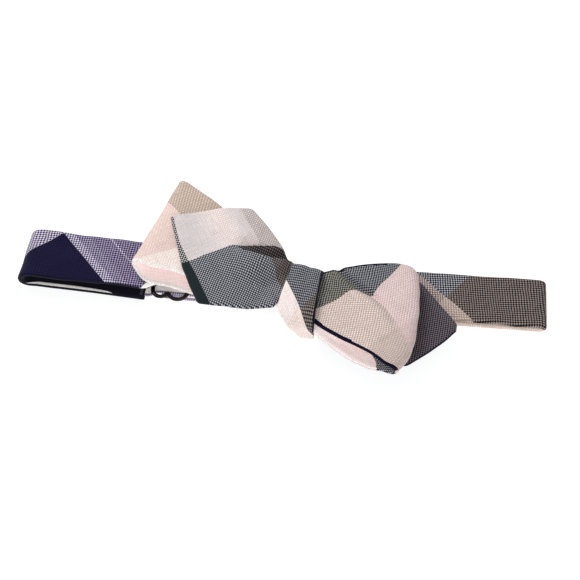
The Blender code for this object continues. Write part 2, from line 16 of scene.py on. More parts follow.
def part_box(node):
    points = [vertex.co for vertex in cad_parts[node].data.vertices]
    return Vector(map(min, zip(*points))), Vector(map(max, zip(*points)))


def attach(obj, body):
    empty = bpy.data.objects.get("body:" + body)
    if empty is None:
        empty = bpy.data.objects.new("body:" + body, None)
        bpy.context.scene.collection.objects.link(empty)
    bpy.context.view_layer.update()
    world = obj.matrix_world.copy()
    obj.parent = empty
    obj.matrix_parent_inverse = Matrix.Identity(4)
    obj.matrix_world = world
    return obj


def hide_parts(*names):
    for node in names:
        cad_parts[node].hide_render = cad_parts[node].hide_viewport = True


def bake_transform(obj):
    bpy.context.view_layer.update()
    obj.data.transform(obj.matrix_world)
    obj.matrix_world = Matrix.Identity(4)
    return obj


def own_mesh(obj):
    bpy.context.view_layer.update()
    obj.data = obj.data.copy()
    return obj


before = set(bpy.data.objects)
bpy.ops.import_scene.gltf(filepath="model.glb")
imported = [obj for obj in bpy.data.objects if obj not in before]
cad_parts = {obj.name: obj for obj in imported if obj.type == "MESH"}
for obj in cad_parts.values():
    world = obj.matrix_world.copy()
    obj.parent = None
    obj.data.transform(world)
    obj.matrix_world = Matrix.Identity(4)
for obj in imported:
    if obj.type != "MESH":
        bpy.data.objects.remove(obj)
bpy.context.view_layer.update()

MM = 0.001


def middle(node):
    low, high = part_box(node)
    return (low + high) / 2


# The design's own zero, found from the knot, whose middle is at (8, -11, 10) there.
ORIGIN = middle("knot_wrap_face") / MM - Vector((8.0, -11.0, 10.0))

CLOTH_T = 2.0  # lined cloth, slightly thinner than its solids so that layers clear each other
STRAP_T = 0.6
RIM = 1.1  # how far a rounded seam reaches in from the edge
BAND_YARN, WING_YARN = 0.64, 0.56  # spacing of the yarns
BAND_HIGH = 9.0  # the neckband's upper edge
BAND_Y, STRAP_HALF = -1.0, 8.7  # the strap's middle and half width
FRONT_Z, BACK_Z = 6.3, 1.1  # heights of the neckband's front runs under the knot and of its back runs
LEFT_TURN, RIGHT_TURN = -1.3, 0.8  # degrees that the neckband's two sides are turned on the table
KNOT_X, KNOT_HALF = 8.0, 7.0
BAND_START = 0.15  # from the knot's middle to the start of either side's cloth
LEFT_WING, RIGHT_WING = (6, -11), (10, -12)  # where the bow's two sides have their zero
LOOP_PAINTED_GLOW = 0.11  # painted glow: emission that brightens the loops' shaded insides


# ---------------------------------------------------------------- colours

def srgb(red, green, blue):
    """A screen colour from 0 to 255 as linear light."""
    return tuple(c / 12.92 if c <= 0.04045 else ((c + 0.055) / 1.055) ** 2.4
                 for c in (red / 255, green / 255, blue / 255))


NAVY = srgb(10, 6, 34)
DEEP_BLUE = srgb(28, 23, 60)
INDIGO = srgb(58, 50, 92)
INK = srgb(24, 23, 36)
CHARCOAL = srgb(33, 37, 42)
GREEN = srgb(28, 42, 46)
PLUM = srgb(20, 16, 24)
LAVENDER = srgb(208, 199, 222)
DUSK = srgb(160, 148, 178)
HEATHER = srgb(172, 162, 190)
SMOKE = srgb(177, 178, 186)
SLATE = srgb(157, 158, 165)
OLIVE_ASH = srgb(160, 156, 146)
FAWN = srgb(180, 167, 160)
OLD_ROSE = srgb(202, 180, 183)
WHITE = srgb(217, 209, 207)
FROST = srgb(208, 200, 201)
CREAM = srgb(255, 251, 247)
IVORY = srgb(247, 241, 236)
PETAL = srgb(252, 236, 232)
PALE_PINK = srgb(242, 228, 224)
PINK = srgb(252, 231, 228)
BLOSSOM = srgb(253, 238, 236)
PINK_GREY = srgb(206, 192, 190)
ROSE = srgb(244, 224, 222)
BLUSH = srgb(240, 216, 209)
DUSKY_BLUSH = srgb(222, 198, 191)
PEACH = srgb(230, 212, 203)
APRICOT = srgb(236, 216, 206)
SAND = srgb(170, 157, 153)
BEIGE = srgb(142, 129, 123)
STONE = srgb(216, 196, 184)
DUSTY_PINK = srgb(224, 197, 190)
TAN = srgb(172, 160, 140)
TAUPE = srgb(148, 134, 128)
# Beige yarn darkened as painted shade, for the hollow of the left end's pleat.
SHADED_BEIGE = srgb(120, 110, 107)
MAUVE = srgb(104, 94, 102)
DUSKY_MAUVE = srgb(117, 107, 115)
DARK_THREAD = srgb(44, 44, 62)
BRONZE_DARK, BRONZE_RUBBED = srgb(20, 12, 15), srgb(62, 42, 40)
PAPER_DARK, PAPER_PALE = (0.36, 0.37, 0.38), (0.40, 0.41, 0.42)  # linear light
# The second white is the tint of the painted glow on the cloth.
COOL_WHITE, PAINTED_GLOW_WHITE = (1.0, 1.0, 1.0, 1.0), (1.0, 0.96, 0.95, 1.0)


# ---------------------------------------------------------------- materials

def new_material(name):
    """A material, its node tree and its shader."""
    made = bpy.data.materials.new(name)
    made.use_nodes = True
    return made, made.node_tree, made.node_tree.nodes["Principled BSDF"]


def node(tree, kind, **settings):
    made = tree.nodes.new(kind)
    for key, value in settings.items():
        setattr(made, key, value)
    return made


def set_inputs(made, values):
    """Fixed values on a node's own sockets."""
    for socket, value in values.items():
        made.inputs[socket].default_value = value


def math_node(tree, operation, first, second=None, third=None):
    made = node(tree, "ShaderNodeMath", operation=operation)
    for socket, value in zip(made.inputs, (first, second, third)):
        if value is None:
            continue
        if isinstance(value, (int, float)):
            socket.default_value = value
        else:
            tree.links.new(value, socket)
    return made.outputs[0]


def noise_node(tree, place, scale, detail=2.0, dimensions="3D"):
    made = node(tree, "ShaderNodeTexNoise", noise_dimensions=dimensions)
    set_inputs(made, {"Scale": scale, "Detail": detail})
    if place is not None:
        tree.links.new(place, made.inputs["Vector"])
    return made.outputs["Fac"]


def two_tones(tree, factor, first, second, places=(0.0, 1.0)):
    """Shades from one colour to another as a factor goes from one place to the next."""
    tone = node(tree, "ShaderNodeValToRGB")
    for stop, colour, at in zip(tone.color_ramp.elements, (first, second), places):
        stop.position = at
        stop.color = (*colour, 1.0)
    tree.links.new(factor, tone.inputs["Fac"])
    return tone.outputs["Color"]


def add_relief(tree, shader, height, depth, strength=1.0):
    """Bump whose full height is depth, in millimetres."""
    bump = node(tree, "ShaderNodeBump")
    set_inputs(bump, {"Strength": strength, "Distance": depth * MM})
    tree.links.new(height, bump.inputs["Height"])
    tree.links.new(bump.outputs["Normal"], shader.inputs["Normal"])


def striped(tree, position, stripes, blending="CONSTANT"):
    """A colour that changes at borders along position, in millimetres. stripes starts with a colour."""
    first, borders = stripes[0], stripes[1:]
    margin = 10.0  # what the colour ramp covers beyond the outermost borders
    ramp = node(tree, "ShaderNodeValToRGB")
    ramp.color_ramp.interpolation = blending
    low = (borders[0][0] if borders else 0.0) - margin
    high = (borders[-1][0] if borders else 0.0) + margin
    scaled = math_node(tree, "MULTIPLY_ADD", position, 1 / (high - low), -low / (high - low))
    tree.links.new(scaled, ramp.inputs["Fac"])
    ramp.color_ramp.elements[0].color = (*first, 1.0)
    ramp.color_ramp.elements[0].position = 0.0
    ramp.color_ramp.elements.remove(ramp.color_ramp.elements[1])
    for place, colour in borders:
        stop = ramp.color_ramp.elements.new((place - low) / (high - low))
        stop.color = (*colour, 1.0)
    return ramp.outputs["Color"]


def coordinates(tree, layer):
    """A mesh's map, and the two numbers that it holds."""
    held = node(tree, "ShaderNodeUVMap", uv_map=layer)
    split = node(tree, "ShaderNodeSeparateXYZ")
    tree.links.new(held.outputs["UV"], split.inputs[0])
    return held.outputs["UV"], split.outputs[0], split.outputs[1]


def mixed(tree, first, second, factor=1.0, blend="MIX"):
    made = node(tree, "ShaderNodeMix", data_type="RGBA", blend_type=blend)
    if isinstance(factor, float):
        made.inputs["Factor"].default_value = factor
    else:
        tree.links.new(factor, made.inputs["Factor"])
    tree.links.new(first, made.inputs["A"])
    tree.links.new(second, made.inputs["B"])
    return made.outputs["Result"]


def brightness(tree, colour):
    grey = node(tree, "ShaderNodeRGBToBW")
    tree.links.new(colour, grey.inputs[0])
    return grey.outputs[0]


def slub(tree, yarn, across, along):
    """Each yarn is a little thicker and paler in places along its length."""
    from_yarn_to_yarn, down_a_yarn = 1.9 / yarn, 0.16  # how quickly it changes
    contrast, darkest = 0.8, 0.62
    spot = node(tree, "ShaderNodeCombineXYZ")
    tree.links.new(math_node(tree, "MULTIPLY", across, from_yarn_to_yarn), spot.inputs[0])
    tree.links.new(math_node(tree, "MULTIPLY", along, down_a_yarn), spot.inputs[1])
    grain = noise_node(tree, spot.outputs[0], 1.0, 3.0, "2D")
    return math_node(tree, "MULTIPLY_ADD", grain, contrast, darkest)


def weave(name, a_stripes, b_stripes, on_pale=None, bold=0.35, yarn=WING_YARN, painted_glow=0.0, blending="CONSTANT"):
    """Plain-woven check cloth. bold is how much more a dark yarn shows than the pale ones that cross it.

    on_pale gives the second yarns' colours where pale yarns cross them, if they look different there.
    blending is how those change into each other. The glow is painted light: emission that brightens cloth
    lying in shade.
    """
    drift_reach = 0.15  # how far a yarn wanders to either side
    pale_from = 0.3  # the brightness from which a yarn counts as pale
    blur = 0.1  # how softly one yarn passes under the other
    relief = 0.12
    gap_shade, crown_shade = 0.82, 1.08  # a yarn's brightness at the gaps beside it and in its middle
    made, tree, shader = new_material(name)
    place, a, b = coordinates(tree, "cloth")
    _place, a_check, b_check = coordinates(tree, "check")
    # Yarns are never quite straight: a slow wander before they are counted.
    wander = noise_node(tree, place, 0.3, 1.0, "2D")
    drift = math_node(tree, "MULTIPLY_ADD", wander, 2 * drift_reach, -drift_reach)
    a_drifted = math_node(tree, "ADD", a, drift)
    b_drifted = math_node(tree, "SUBTRACT", b, drift)
    a_wave = math_node(tree, "SINE", math_node(tree, "MULTIPLY", a_drifted, math.pi / yarn))
    b_wave = math_node(tree, "SINE", math_node(tree, "MULTIPLY", b_drifted, math.pi / yarn))
    crossing = math_node(tree, "MULTIPLY", a_wave, b_wave)

    a_colour, b_colour = striped(tree, a_check, a_stripes), striped(tree, b_check, b_stripes)
    if on_pale:
        crossed_by_pale = math_node(tree, "GREATER_THAN", brightness(tree, a_colour), pale_from)
        b_colour = mixed(tree, b_colour, striped(tree, b_check, on_pale, blending), crossed_by_pale)
    contrast = math_node(tree, "SUBTRACT", brightness(tree, b_colour), brightness(tree, a_colour))
    over = math_node(tree, "MULTIPLY_ADD", contrast, -bold, crossing)
    on_top = node(tree, "ShaderNodeMapRange")
    set_inputs(on_top, {"From Min": -blur, "From Max": blur})
    tree.links.new(over, on_top.inputs["Value"])
    a_yarn = mixed(tree, a_colour, slub(tree, yarn, a_drifted, b_drifted), blend="MULTIPLY")
    b_yarn = mixed(tree, b_colour, slub(tree, yarn, b_drifted, a_drifted), blend="MULTIPLY")
    woven = mixed(tree, a_yarn, b_yarn, on_top.outputs["Result"])
    # Highest in the middle of each crossing.
    height = math_node(tree, "POWER", math_node(tree, "ABSOLUTE", crossing), 0.5)
    shade = math_node(tree, "MULTIPLY_ADD", height, crown_shade - gap_shade, gap_shade)
    tree.links.new(mixed(tree, woven, shade, blend="MULTIPLY"), shader.inputs["Base Color"])
    add_relief(tree, shader, height, relief, 0.7)
    # The emission is painted glow, for cloth that lies in shade.
    set_inputs(shader, {
        "Roughness": 0.92, "Specular IOR Level": 0.08, "Sheen Weight": 0.05, "Sheen Roughness": 0.5,
        "Emission Color": PAINTED_GLOW_WHITE, "Emission Strength": painted_glow,
    })
    return made


def stitching(name, colour):
    """Sewing thread: twisted, its strands painted in bands of shade and highlight, with a soft sheen."""
    made, tree, shader = new_material(name)
    place = node(tree, "ShaderNodeTexCoord")
    strands = node(tree, "ShaderNodeTexWave", bands_direction="DIAGONAL")
    set_inputs(strands, {"Scale": 1600.0, "Distortion": 2.0})
    tree.links.new(place.outputs["Object"], strands.inputs["Vector"])
    shaded, lit = tuple(0.6 * c for c in colour), tuple(1.5 * c for c in colour)
    tone = two_tones(tree, strands.outputs["Fac"], shaded, lit)
    tree.links.new(tone, shader.inputs["Base Color"])
    add_relief(tree, shader, strands.outputs["Fac"], 0.04)
    set_inputs(shader, {"Roughness": 0.6, "Sheen Weight": 0.2})
    return made


def dark_metal():
    """Antique bronze plating: brown-black, rubbed brighter in patches."""
    made, tree, shader = new_material("antique_bronze")
    place = node(tree, "ShaderNodeTexCoord")
    patches = noise_node(tree, place.outputs["Object"], 420.0, 5.0)
    tone = two_tones(tree, patches, BRONZE_DARK, BRONZE_RUBBED, (0.35, 0.8))
    tree.links.new(tone, shader.inputs["Base Color"])
    gloss = math_node(tree, "MULTIPLY_ADD", patches, 0.25, 0.15)
    tree.links.new(gloss, shader.inputs["Roughness"])
    add_relief(tree, shader, patches, 0.05, 0.15)
    set_inputs(shader, {"Metallic": 0.85, "Coat Weight": 0.4, "Coat Roughness": 0.12})
    return made


def white_paper():
    """The pale floor. It gives light of its own, so that it stays white."""
    made, tree, shader = new_material("white_paper")
    tone = two_tones(tree, noise_node(tree, None, 900.0), PAPER_DARK, PAPER_PALE)
    tree.links.new(tone, shader.inputs["Base Color"])
    set_inputs(shader, {
        "Roughness": 1.0, "Specular IOR Level": 0.0, "Emission Color": COOL_WHITE, "Emission Strength": 0.8,
    })
    return made


# ---------------------------------------------------------------- shapes

def stations(*pairs, soften=1.2):
    """A function through (position, value) pairs, straight between them and rounded at each."""
    def straight(position):
        if position <= pairs[0][0]:
            return pairs[0][1]
        for (a, low), (b, high) in zip(pairs, pairs[1:]):
            if position <= b:
                return low + (position - a) / (b - a) * (high - low)
        return pairs[-1][1]

    def read(position):
        return sum(straight(position + soften * k / 3) for k in range(-3, 4)) / 7
    return read


def smoothstep(share):
    share = min(1.0, max(0.0, share))
    return share * share * (3 - 2 * share)


def rise(position, start, length):
    """Nothing up to start, one from start + length on, smooth between."""
    return smoothstep((position - start) / length)


def fall(position, end, length):
    """One up to end - length, nothing from end on, smooth between."""
    return smoothstep((end - position) / length)


def hump(position, width):
    """One at zero, falling away on both sides."""
    return math.exp(-(position / width) ** 2)


def arc(centre, radius, start, end, steps):
    """Points round a centre, from one angle to another."""
    points = []
    for i in range(steps + 1):
        angle = start + (end - start) * i / steps
        points.append((centre[0] + radius * math.cos(angle), centre[1] + radius * math.sin(angle)))
    return points


def rounded(before, point, after):
    return tuple((a + 2 * b + c) / 4 for a, b, c in zip(before, point, after))


def resampled(points, step, cyclic=False):
    """The same line with points about one step apart, rounded a little where it turned."""
    if cyclic:
        points = points + [points[0]]
    lengths = [0.0]
    for p, q in zip(points, points[1:]):
        lengths.append(lengths[-1] + math.dist(p, q))
    count = max(4, round(lengths[-1] / step))
    line, k = [], 0
    for i in range(count if cyclic else count + 1):
        target = lengths[-1] * i / count
        while k < len(lengths) - 2 and lengths[k + 1] < target:
            k += 1
        share = (target - lengths[k]) / max(1e-9, lengths[k + 1] - lengths[k])
        line.append(tuple(a + (b - a) * share for a, b in zip(points[k], points[k + 1])))
    for _round in range(3):
        first, last = line[0], line[-1]
        if cyclic:
            first, last = rounded(line[-1], line[0], line[1]), rounded(line[-2], line[-1], line[0])
        line = [first] + [rounded(*three) for three in zip(line, line[1:], line[2:])] + [last]
    return line


def neighbours(items, i, cyclic):
    """The items before and after one of them. At an open end it stands in for the missing one."""
    before = items[i - 1] if i or cyclic else items[0]
    after = items[(i + 1) % len(items)] if i + 1 < len(items) or cyclic else items[-1]
    return before, after


def place_at(x, y, degrees):
    """A panel's frame: its zero in the design, and the way its s axis points."""
    return Matrix.Translation(ORIGIN + Vector((x, y, 0))) @ Matrix.Rotation(math.radians(degrees), 4, "Z")


def columns_at(low, high, count):
    """Places across a panel, crowded at its seams, each with its distance in from either edge."""
    width = high - low
    rim = min(RIM, 0.42 * width)  # less than half of a narrow panel
    near = [0.0, 0.04, 0.14, 0.32, 0.6, 1.0]
    steps = [rim * n for n in near]
    middle_steps = [rim + (width - 2 * rim) * i / count for i in range(1, count)]
    steps += middle_steps + [width - rim * n for n in reversed(near)]
    return [(low + d, d, width - d) for d in steps]


Row = namedtuple("Row", "s z normal u")
Spot = namedtuple("Spot", "outer inner s u l low high")  # low and high are its distances in from the edges


def rows_along(line, out, start_u, step_u, cyclic):
    """Each point of a panel's side view, with its normal and its length along the cloth."""
    rows, u = [], start_u
    for i, (s, z) in enumerate(line):
        before, after = neighbours(line, i, cyclic)
        ahead = Vector((after[0] - before[0], after[1] - before[1])).normalized()
        if i:
            u += step_u * math.dist(line[i], line[i - 1])
        rows.append(Row(s, z, Vector((-ahead.y, ahead.x)) * out, u))
    return rows


def shell(name, place, line, edges, cloth, pick, materials, check=None, out=1, thick=CLOTH_T, shape=None,
          start_u=0.0, step_u=1, count=30, cyclic=False, skew=None):
    """A lined cloth panel: a side-view line drawn out between two edges, closed by rounded seams.

    cloth(u, l) gives the yarn coordinates, and check(outer, u, s, l) the coordinates that the colour borders
    go by, if they differ. pick(outer, u, l, low, high) gives the material's number, low and high being the
    distances in from the edges. shape(u, s, l) moves the cloth along its normal, and skew(s, l) along s.
    out is 1 where the cloth's outer side is on the left of the line, else -1. step_u is the way u counts.
    """
    rows = rows_along(line, out, start_u, step_u, cyclic)
    total = abs(rows[-1].u - start_u)
    grid = []
    for s, z, normal, u in rows:
        from_start = abs(u - start_u)
        from_end = RIM if cyclic else min(from_start, total - from_start)
        spots = []
        for l, low, high in columns_at(edges[0](s, u), edges[1](s, u), count):
            inward = min(1.0, min(low, high, from_end) / (thick / 2))
            half = thick / 2 * math.sqrt(max(0.0, 1 - (1 - inward) ** 2))
            lift = shape(u, s, l) if shape else 0.0
            pushed = s + (skew(s, l) if skew else 0.0)
            sides = []
            for side in (1, -1):
                away = normal * (lift + side * half)
                sides.append(place @ Vector((pushed + away.x, l, z + away.y)) * MM)
            spots.append(Spot(*sides, s, u, l, low, high))
        grid.append(spots)

    def maps(spot, outer, closing):
        """The two maps at a spot. In a ring's closing face the first row is one turn on."""
        u = spot.u
        if closing and u == start_u:
            u += step_u * (total + math.dist(line[-1], line[0]))
        plain = cloth(u, spot.l)
        return plain, check(outer, u, spot.s, spot.l) if check else plain

    mesh = panel_mesh(grid, cyclic, pick, maps)
    made = object_from(mesh, name, materials)
    widths = [edges[1](row.s, row.u) - edges[0](row.s, row.u) for row in rows]
    made["cut"] = (max(widths), total, sum(widths) / len(widths) * total)
    return made


def panel_mesh(grid, cyclic, pick, maps):
    """The two sides of a panel over one grid of spots, joined along its seams."""
    mesh = bmesh.new()
    cloth_layer = mesh.loops.layers.uv.new("cloth")
    check_layer = mesh.loops.layers.uv.new("check")
    last_row, last_col = len(grid) - 1, len(grid[0]) - 1
    verts = {}
    for outer in (True, False):
        for i, row in enumerate(grid):
            for j, spot in enumerate(row):
                seam = j in (0, last_col) or (not cyclic and i in (0, last_row))
                if seam and not outer:
                    verts[outer, i, j] = verts[True, i, j]
                else:
                    verts[outer, i, j] = mesh.verts.new(spot.outer if outer else spot.inner)
    for outer in (True, False):
        for i in range(len(grid) if cyclic else last_row):
            k = (i + 1) % len(grid)
            for j in range(last_col):
                here, beside = grid[i][j], grid[i][j + 1]
                corners = ((i, j), (k, j), (k, j + 1), (i, j + 1))
                ring = [verts[outer, r, c] for r, c in corners]
                face = mesh.faces.new(reversed(ring) if outer else ring)
                u = (here.u + grid[k][j].u) / 2 if k else here.u
                l, low, high = ((getattr(here, n) + getattr(beside, n)) / 2 for n in ("l", "low", "high"))
                face.material_index = pick(outer, u, l, low, high)
                face.smooth = True
                spot_at = {verts[outer, r, c]: grid[r][c] for r, c in corners}
                for loop in face.loops:
                    loop[cloth_layer].uv, loop[check_layer].uv = maps(spot_at[loop.vert], outer, k == 0)
    bmesh.ops.recalc_face_normals(mesh, faces=mesh.faces)
    return mesh


def object_from(mesh, name, materials):
    data = bpy.data.meshes.new(name)
    mesh.to_mesh(data)
    mesh.free()
    for material in materials:
        data.materials.append(material)
    made = bpy.data.objects.new(name, data)
    bpy.context.scene.collection.objects.link(made)
    return made


def wire(mesh, path, wide, high, cyclic=False, sides=10):
    """A round or flattened rod along a path of points."""
    rings = []
    for i, point in enumerate(path):
        before, after = neighbours(path, i, cyclic)
        ahead = (after - before).normalized()
        up = Vector((0, 0, 1)) if abs(ahead.z) < 0.9 else Vector((1, 0, 0))
        across = ahead.cross(up).normalized()
        upward = across.cross(ahead)
        ring = []
        for k in range(sides):
            angle = 2 * math.pi * k / sides
            offset = across * wide * math.cos(angle) + upward * high * math.sin(angle)
            ring.append(mesh.verts.new((point + offset) * MM))
        rings.append(ring)
    following = rings[1:] + rings[:1] if cyclic else rings[1:]
    for one, two in zip(rings, following):
        for k in range(sides):
            face = mesh.faces.new((one[k], one[(k + 1) % sides], two[(k + 1) % sides], two[k]))
            face.smooth = True
    if not cyclic:
        mesh.faces.new(reversed(rings[0]))
        mesh.faces.new(rings[-1])


def declare(piece, body, replaced):
    """Hangs a cloth piece from its body, if it has one, and hides the solids that it replaces. Its cut size
    is worked out but not passed on.
    """
    width, length, area = (value * unit for value, unit in zip(piece["cut"], (MM, MM, MM * MM)))
    if body:
        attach(piece, body)
    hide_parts(*replaced)
    min(area, width * length)


def plies(name):
    return [f"{name}_{layer}" for layer in ("face", "canvas", "lining")]


def yarns(a_angle, b_angle):
    """Cloth coordinates for yarns whose colour borders run at these angles to a panel's s axis."""
    a_turn, b_turn = math.radians(a_angle), math.radians(b_angle)

    def read(u, l):
        return (l * math.cos(a_turn) - u * math.sin(a_turn), l * math.cos(b_turn) - u * math.sin(b_turn))
    return read


def through(cloth, point, axis):
    """The yarn coordinate of a border that passes through a point of the panel."""
    return cloth(*point)[axis]


def ripple(seed, size, height):
    """Slow unevenness of soft cloth."""
    def read(u, l):
        return height * noise.noise(Vector((u / size, l / size, seed)))
    return read


# ---------------------------------------------------------------- neckband

def knot_share(x):
    """One inside the knot, falling smoothly to nothing 24 mm to either side of it."""
    return smoothstep(1.0 - max(0.0, abs(x - KNOT_X) - KNOT_HALF) / 24.0)


def make_left_band():
    """Front run from the knot to the left fold, round it, and back to the adjuster's square end."""
    first_x = KNOT_X - BAND_START
    fold, radius = (-90.0, 4.75), 3.65
    line = [(first_x, FRONT_Z), (-4.0, FRONT_Z), (-22.0, 7.1), (-60.0, 7.85), (fold[0], 8.4)]
    line += arc(fold, radius, math.pi / 2, 1.5 * math.pi, 16)
    line += [(-80.0, BACK_Z), (-49.0, BACK_Z)]
    fold_start, fold_u = -96.0, -97.5
    back_low = stations(
        (-142.0, -11.2), (-123.0, -10.5), (-107.0, -10.2), (-101.0, -10.2), (fold_start, -11.2),
    )
    front_low = stations(
        (fold_start, -11.2), (-79.0, -11.1), (-62.0, -10.5), (-48.5, -10.9), (-44.0, -8.4), (8.0, -8.0),
    )
    # How far in from the back run's lower edge its lining stays cream, before the painted shade.
    unshaded_width = stations((-132.0, 0.0), (-128.0, 0.9), (-116.0, 1.3), (-103.0, 1.3), (-98.5, 0.3))

    def low_edge(_x, u):
        return front_low(u) if u > fold_start else back_low(u)

    def high_edge(x, u):
        """Narrower where the knot gathers it, a little wider at the fold."""
        gathered = 8.8 * knot_share(x) if u > fold_u else 0.0
        return BAND_HIGH + 0.3 + 0.7 * fall(x, -70.0, 20.0) - gathered

    cloth = yarns(-45.0, 45.0)
    apex = (-82.4, 8.8)  # where the dark triangle's two sides meet
    a_navy, b_navy = through(cloth, apex, 0), through(cloth, apex, 1)
    face = weave(
        "band_left_check",
        (
            NAVY, (a_navy, LAVENDER), (a_navy + 3.0, HEATHER), (a_navy + 6.5, DUSK),
            (a_navy + 12.0, LAVENDER), (a_navy + 12.7, DUSK),
        ),
        (DEEP_BLUE, (b_navy, LAVENDER)), bold=0.0, yarn=BAND_YARN,
    )
    dark = weave("band_left_dark", (INK,), (INK,))
    # The lining is cream along the back run's lower edge and painted ink further in: painted shade between
    # the two runs.
    seam = weave("band_left_lining_painted_shade", (CREAM, (0.0, INK)), (CREAM, (0.0, INK)))
    corner = weave(
        "band_left_corner", (DUSK, (0.0, CREAM)), (DEEP_BLUE, (0.0, CREAM)), bold=0.0, yarn=BAND_YARN,
    )
    corner_from, corner_to = -54.0, -30.0  # the stretch that holds the pale corner
    corner_at, corner_across = (-47.1, -7.8), (0.79, -0.61)  # a point of its border, and the way across it

    def pick(outer, u, _l, low, _high):
        if not outer:
            return 2 if u < fold_u and low > 0.3 else 1
        if u < fold_u - 3.0:
            return 1 if low < 0.5 * RIM else 0
        if low < 0.2 * RIM and u < -50.0:
            return 1
        return 3 if corner_from < u < corner_to else 0

    def check(outer, u, _s, l):
        """Inside, the distance past the cream strip, beyond which the lining is painted in shade. By the
        adjuster, the distance past a slanting border.
        """
        if not outer:
            reach = l - back_low(u) - unshaded_width(u)
            return reach, reach
        if corner_from - 0.5 < u < corner_to + 0.5:
            past = (u - corner_at[0]) * corner_across[0] + (l - corner_at[1]) * corner_across[1]
            return past, past
        return cloth(u, l)

    wrinkle = ripple(3.1, 8.0, 0.5)

    def shape(u, _s, l):
        """Slightly uneven away from the knot and the adjuster."""
        return wrinkle(u, l) * fall(u, -24.0, 20.0) * rise(u, -112.0, 8.0)

    piece = shell(
        "band_left", place_at(0, 0, LEFT_TURN), resampled(line, 0.7), (low_edge, high_edge), cloth, pick,
        (face, dark, seam, corner), check=check, out=-1, shape=shape, start_u=first_x, step_u=-1, count=26,
        skew=lambda s, _l: -0.8 * fall(s, -84.0, 8.0),
    )
    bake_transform(piece)
    declare(piece, None, plies("band_left_front") + plies("band_left_back"))


def make_right_band():
    """Front run from the knot to the right fold, round it, and back to the hook's loop."""
    first_x = KNOT_X + BAND_START
    fold, radius = (92.05, 2.45), 1.35
    line = [(first_x, FRONT_Z), (16.0, FRONT_Z), (54.0, 5.1), (fold[0], 3.8)]
    line += arc(fold, radius, math.pi / 2, -math.pi / 2, 12)
    line += [(80.0, BACK_Z), (13.5, BACK_Z)]
    fold_u = 94.3
    front_high = stations((49.0, 8.6), (78.0, 9.3), (95.0, 9.8))

    def low_edge(x, u):
        return -10.9 + 0.5 * knot_share(x) if u < fold_u - 2.0 else -10.5

    def high_edge(x, u):
        return front_high(x) - (8.5 * knot_share(x) if u < fold_u else 0.0)

    cloth = yarns(-42.5, 50.6)
    a_dark = through(cloth, (59.3, -2.5), 0)
    b_beige = through(cloth, (58.3, -2.5), 1)
    face = weave(
        "band_right_check", (STONE, (a_dark, PLUM)), (TAUPE, (b_beige, SMOKE)),
        on_pale=(TAUPE, (b_beige, MAUVE)), yarn=BAND_YARN,
    )
    pale = weave("band_right_pale", (PEACH,), (STONE,))

    def pick(outer, u, _l, low, high):
        if u < fold_u:
            return 0 if outer or low < RIM or high < RIM else 1
        return 0 if outer and low > 0.75 * RIM else 1

    wrinkle = ripple(8.4, 7.0, 0.45)

    def shape(u, _s, l):
        return wrinkle(u, l) * rise(u, 30.0, 20.0) * fall(u, 94.0, 5.0)

    piece = shell(
        "band_right", place_at(0, 0, RIGHT_TURN), resampled(line, 0.6), (low_edge, high_edge), cloth, pick,
        (face, pale), shape=shape, start_u=first_x, count=26,
        skew=lambda s, l: (0.8 + 0.03 * l) * rise(s, 80.0, 12.0),
    )
    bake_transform(piece)
    declare(piece, None, plies("band_right_front") + plies("band_right_back"))


# ---------------------------------------------------------------- bow

def wing_edges(low, high):
    """Edges that depend only on the place along the panel."""
    return (lambda s, _u: low(s), lambda s, _u: high(s))


